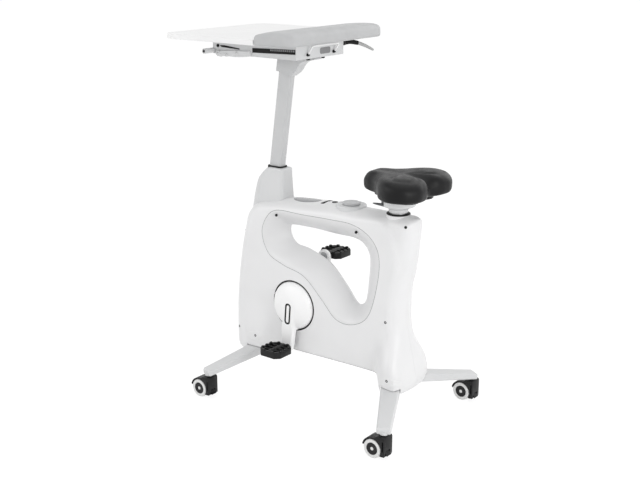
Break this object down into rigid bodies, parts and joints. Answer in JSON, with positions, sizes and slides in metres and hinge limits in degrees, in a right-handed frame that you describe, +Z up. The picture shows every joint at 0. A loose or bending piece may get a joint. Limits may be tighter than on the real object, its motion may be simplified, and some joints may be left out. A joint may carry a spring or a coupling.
{
  "type": "desk exercise bike",
  "caption": "Pedalling base on casters with a sliding desk on a leaning telescopic mast, a see-through casing and a height-adjustable saddle.",
  "frame": {"origin": "floor level, in the middle of the footprint", "axes": "+Z up, +X towards the back of the bike, where the rider sits, +Y to the right of the rider, who faces -X"},
  "size_m": [0.8882, 0.548, 1.2],
  "materials": {
    "casing_white": "satin moulded plastic",
    "neck_grey": "satin light grey",
    "frame_paint": "powder coat",
    "desk_white": "satin laminate",
    "black_vinyl": "fine grained vinyl over foam",
    "pad_vinyl": "light grey grained vinyl over foam",
    "black_plastic": "matt moulded",
    "grey_plastic": "matt moulded",
    "display_window": "clear gloss over a grey display",
    "black_rubber": "matt",
    "caster_tyre": "light grey matt tread round a black hub cap",
    "steel": "brushed",
    "gas_spring_black": "gloss enamel",
    "cast_iron": "machined"
  },
  "bodies": {
    "base": {"main_frame": "frame_paint", "front_left_leg": "frame_paint", "front_right_leg": "frame_paint", "rear_left_leg": "frame_paint", "rear_right_leg": "frame_paint", "left_shell": "casing_white", "right_shell": "casing_white", "left_opening_trim": "casing_white", "right_opening_trim": "casing_white", "neck_cover": "neck_grey", "mast_collar": "black_rubber", "seat_collar": "black_rubber", "display_lens": "display_window", "knob_dish": "casing_white", "crank_cartridge": "steel", "flywheel_axle": "steel", "drive_belt": "black_rubber", "mast_gas_rod": "steel", "seat_gas_rod": "steel"},
    "crank": {"crank_axle": "steel", "left_crank_arm": "steel", "right_crank_arm": "steel", "left_crank_cover": "casing_white", "right_crank_cover": "casing_white", "drive_pulley": "grey_plastic", "left_pedal_spindle": "steel", "right_pedal_spindle": "steel"},
    "pedal_left": {"left_pedal": "black_plastic"},
    "pedal_right": {"right_pedal": "black_plastic"},
    "flywheel_set": {"flywheel": "cast_iron"},
    "magnet_set": {"magnet_bracket": "steel"},
    "knob": {"resistance_knob": "casing_white"},
    "button": {"mode_button": "grey_plastic"},
    "mast": {"mast_tube": "neck_grey", "mast_gas_cylinder": "gas_spring_black", "mast_head": "neck_grey", "slide_tray": "frame_paint"},
    "desk": {"desk_slide_frame": "frame_paint", "desk_board": "desk_white", "wrist_pad": "pad_vinyl"},
    "height_lever_set": {"height_lever": "grey_plastic"},
    "bail": {"slide_bail": "frame_paint"},
    "seat": {"seat_post": "steel", "seat_gas_cylinder": "gas_spring_black", "seat_clamp": "frame_paint", "saddle_base": "black_plastic", "saddle_cushion": "black_vinyl"},
    "seat_lever_set": {"seat_lever": "grey_plastic"},
    "front_left_swivel": {"front_left_caster_housing": "black_plastic"},
    "front_left_roller": {"front_left_caster_wheel": "caster_tyre"},
    "front_left_brake": {"front_left_caster_brake_tab": "black_plastic"},
    "front_right_swivel": {"front_right_caster_housing": "black_plastic"},
    "front_right_roller": {"front_right_caster_wheel": "caster_tyre"},
    "front_right_brake": {"front_right_caster_brake_tab": "black_plastic"},
    "rear_left_swivel": {"rear_left_caster_housing": "black_plastic"},
    "rear_left_roller": {"rear_left_caster_wheel": "caster_tyre"},
    "rear_left_brake": {"rear_left_caster_brake_tab": "black_plastic"},
    "rear_right_swivel": {"rear_right_caster_housing": "black_plastic"},
    "rear_right_roller": {"rear_right_caster_wheel": "caster_tyre"},
    "rear_right_brake": {"rear_right_caster_brake_tab": "black_plastic"}
  },
  "joints": [
    {"name": "crank_spin", "type": "hinge", "parent": "base", "child": "crank", "pos_m": [-0.063, 0, 0.311], "axis": [0, 1, 0], "continuous": true},
    {"name": "left_pedal_spin", "type": "hinge", "parent": "crank", "child": "pedal_left", "pos_m": [-0.0739, -0.145, 0.17845], "axis": [0, 1, 0], "continuous": true},
    {"name": "right_pedal_spin", "type": "hinge", "parent": "crank", "child": "pedal_right", "pos_m": [-0.0521, 0.145, 0.44355], "axis": [0, 1, 0], "continuous": true},
    {"name": "flywheel_spin", "type": "hinge", "parent": "base", "child": "flywheel_set", "pos_m": [0.168, 0, 0.242], "axis": [0, 1, 0], "continuous": true},
    {"name": "knob_turn", "type": "hinge", "parent": "base", "child": "knob", "pos_m": [0.116, 0, 0.6625], "axis": [0, 0, -1], "range_deg": [0, 300]},
    {"name": "magnet_swing", "type": "hinge", "parent": "base", "child": "magnet_set", "pos_m": [0.244, 0.025, 0.187], "axis": [0, -1, 0], "range_deg": [0, 5]},
    {"name": "button_press", "type": "slide", "parent": "base", "child": "button", "axis": [0, 0, -1], "range_m": [0, 0.0015], "stiffness_N_per_m": 600, "springref_m": -0.0005},
    {"name": "mast_slide", "type": "slide", "parent": "base", "child": "mast", "axis": [0.1409, 0, 0.99], "range_m": [-0.2, 0]},
    {"name": "desk_slide", "type": "slide", "parent": "mast", "child": "desk", "axis": [1, 0, 0], "range_m": [-0.06, 0.06]},
    {"name": "height_lever_pull", "type": "hinge", "parent": "mast", "child": "height_lever_set", "pos_m": [-0.009, 0.121, 1.137], "axis": [0, -1, 0], "range_deg": [0, 12], "stiffness_Nm_per_rad": 0.6, "springref_deg": -1.72},
    {"name": "bail_pull", "type": "hinge", "parent": "mast", "child": "bail", "pos_m": [-0.001, 0, 1.116], "axis": [0, 1, 0], "range_deg": [0, 25], "stiffness_Nm_per_rad": 0.3, "springref_deg": -4.58},
    {"name": "seat_slide", "type": "slide", "parent": "base", "child": "seat", "axis": [0, 0, 1], "range_m": [0, 0.2]},
    {"name": "seat_lever_lift", "type": "hinge", "parent": "seat", "child": "seat_lever_set", "pos_m": [0.277, -0.0265, 0.687], "axis": [-0.6812, 0.7321, 0], "range_deg": [0, 8], "stiffness_Nm_per_rad": 0.5, "springref_deg": -1.72},
    {"name": "front_left_swivel_turn", "type": "hinge", "parent": "base", "child": "front_left_swivel", "pos_m": [-0.27, -0.252, 0.08], "axis": [0, 0, 1], "continuous": true},
    {"name": "front_left_wheel_spin", "type": "hinge", "parent": "front_left_swivel", "child": "front_left_roller", "pos_m": [-0.297, -0.252, 0.03], "axis": [0, 1, 0], "continuous": true},
    {"name": "front_left_brake_press", "type": "hinge", "parent": "front_left_swivel", "child": "front_left_brake", "pos_m": [-0.259, -0.252, 0.024], "axis": [0, 1, 0], "range_deg": [0, 20]},
    {"name": "front_right_swivel_turn", "type": "hinge", "parent": "base", "child": "front_right_swivel", "pos_m": [-0.27, 0.252, 0.08], "axis": [0, 0, 1], "continuous": true},
    {"name": "front_right_wheel_spin", "type": "hinge", "parent": "front_right_swivel", "child": "front_right_roller", "pos_m": [-0.297, 0.252, 0.03], "axis": [0, 1, 0], "continuous": true},
    {"name": "front_right_brake_press", "type": "hinge", "parent": "front_right_swivel", "child": "front_right_brake", "pos_m": [-0.259, 0.252, 0.024], "axis": [0, 1, 0], "range_deg": [0, 20]},
    {"name": "rear_left_swivel_turn", "type": "hinge", "parent": "base", "child": "rear_left_swivel", "pos_m": [0.422, -0.252, 0.08], "axis": [0, 0, 1], "continuous": true},
    {"name": "rear_left_wheel_spin", "type": "hinge", "parent": "rear_left_swivel", "child": "rear_left_roller", "pos_m": [0.395, -0.252, 0.03], "axis": [0, 1, 0], "continuous": true},
    {"name": "rear_left_brake_press", "type": "hinge", "parent": "rear_left_swivel", "child": "rear_left_brake", "pos_m": [0.433, -0.252, 0.024], "axis": [0, 1, 0], "range_deg": [0, 20]},
    {"name": "rear_right_swivel_turn", "type": "hinge", "parent": "base", "child": "rear_right_swivel", "pos_m": [0.422, 0.252, 0.08], "axis": [0, 0, 1], "continuous": true},
    {"name": "rear_right_wheel_spin", "type": "hinge", "parent": "rear_right_swivel", "child": "rear_right_roller", "pos_m": [0.395, 0.252, 0.03], "axis": [0, 1, 0], "continuous": true},
    {"name": "rear_right_brake_press", "type": "hinge", "parent": "rear_right_swivel", "child": "rear_right_brake", "pos_m": [0.433, 0.252, 0.024], "axis": [0, 1, 0], "range_deg": [0, 20]}
  ],
  "couplings": [
    {"joint": "flywheel_spin", "follows": "crank_spin", "ratio": 5},
    {"joint": "magnet_swing", "follows": "knob_turn", "ratio": 0.0166}
  ]
}
